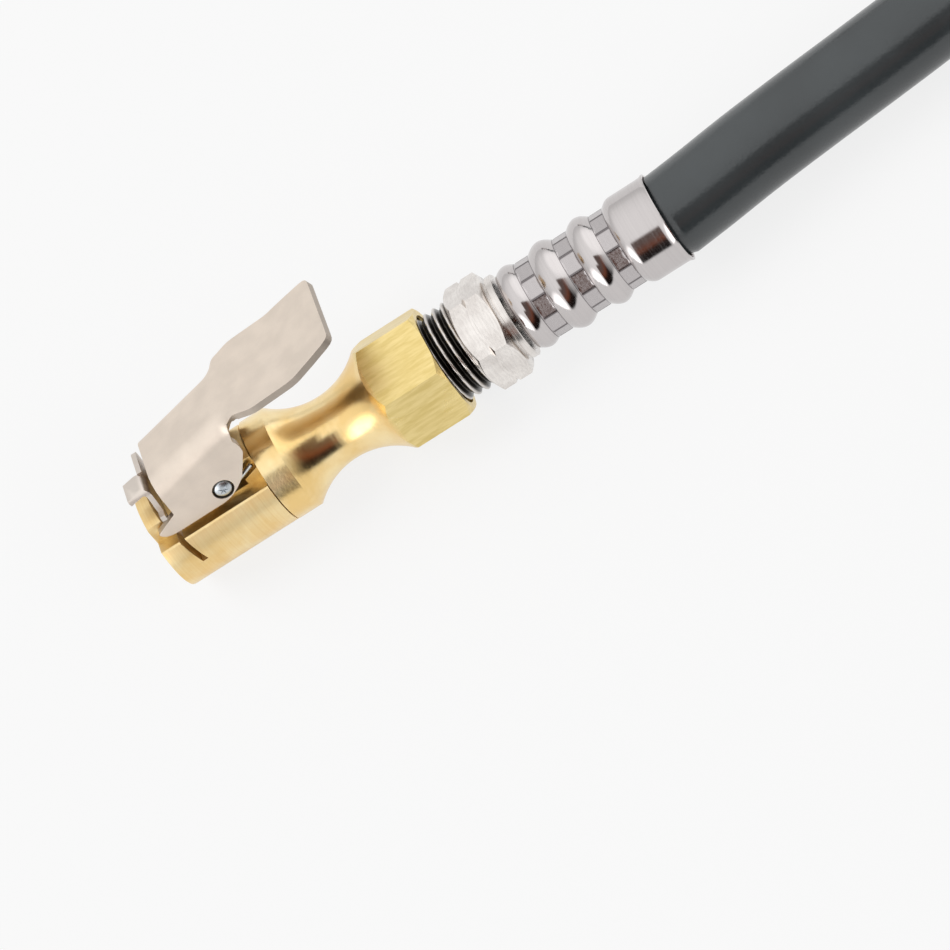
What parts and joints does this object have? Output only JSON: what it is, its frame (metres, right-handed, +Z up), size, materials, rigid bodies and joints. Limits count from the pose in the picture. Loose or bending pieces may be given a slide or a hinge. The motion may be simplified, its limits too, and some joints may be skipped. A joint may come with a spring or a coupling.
{
  "type": "clip-on tyre chuck on a hose whip",
  "caption": "Brass clip-on tyre inflator chuck with a thumb lever and sprung jaw, on a short black rubber hose with crimped ferrules and a threaded pipe end.",
  "frame": {"origin": "middle of the brass hexagon's lower flat, on which the chuck lies", "axes": "+X along the chuck's axis from the stem socket to the hose, +Z up from the surface it lies on, +Y across"},
  "size_m": [0.2069, 0.1745, 0.0284],
  "materials": {
    "turned_brass": "turned, satin on the barrel and polished on the body",
    "satin_nickel": "satin nickel plate on pressed steel sheet",
    "zinc_pin": "bright zinc plate",
    "spring_wire": "drawn wire",
    "nickel_plate": "bright nickel plate on turned steel",
    "bright_chrome": "mirror bright plate on thin steel",
    "hose_rubber": "smooth, slightly glossy black",
    "seal_rubber": "matt black"
  },
  "bodies": {
    "chuck": {"chuck_body": "turned_brass", "chuck_barrel": "turned_brass", "pivot_pin": "zinc_pin", "lever_spring": "spring_wire", "face_seal": "seal_rubber", "poppet_spring": "spring_wire", "spring_retainer": "turned_brass", "barrel_washer": "seal_rubber", "hose_nipple": "nickel_plate", "hose_ferrule": "bright_chrome", "hose": "hose_rubber", "end_ferrule": "bright_chrome", "end_fitting": "nickel_plate"},
    "lever": {"thumb_lever": "satin_nickel"},
    "jaw": {"jaw_plate": "satin_nickel"},
    "plunger": {"depressor_pin": "turned_brass", "poppet_seal": "seal_rubber"}
  },
  "joints": [
    {"name": "lever_hinge", "type": "hinge", "parent": "chuck", "child": "lever", "pos_m": [-0.0298, 0.00305, 0.01345], "axis": [0, 0.8746, -0.4848], "range_deg": [0, 15], "stiffness_Nm_per_rad": 0.6, "springref_deg": -20.05, "deforming": ["lever_spring"]},
    {"name": "jaw_slide", "type": "slide", "parent": "chuck", "child": "jaw", "axis": [-0.2147, 0.4735, 0.8542], "range_m": [0, 0.0022]},
    {"name": "depressor_slide", "type": "slide", "parent": "chuck", "child": "plunger", "axis": [1, 0, 0], "range_m": [0, 0.0015], "stiffness_N_per_m": 600, "springref_m": -0.003, "deforming": ["poppet_spring"]}
  ],
  "couplings": [
    {"joint": "jaw_slide", "follows": "lever_hinge", "m_per_rad": 0.0083}
  ]
}
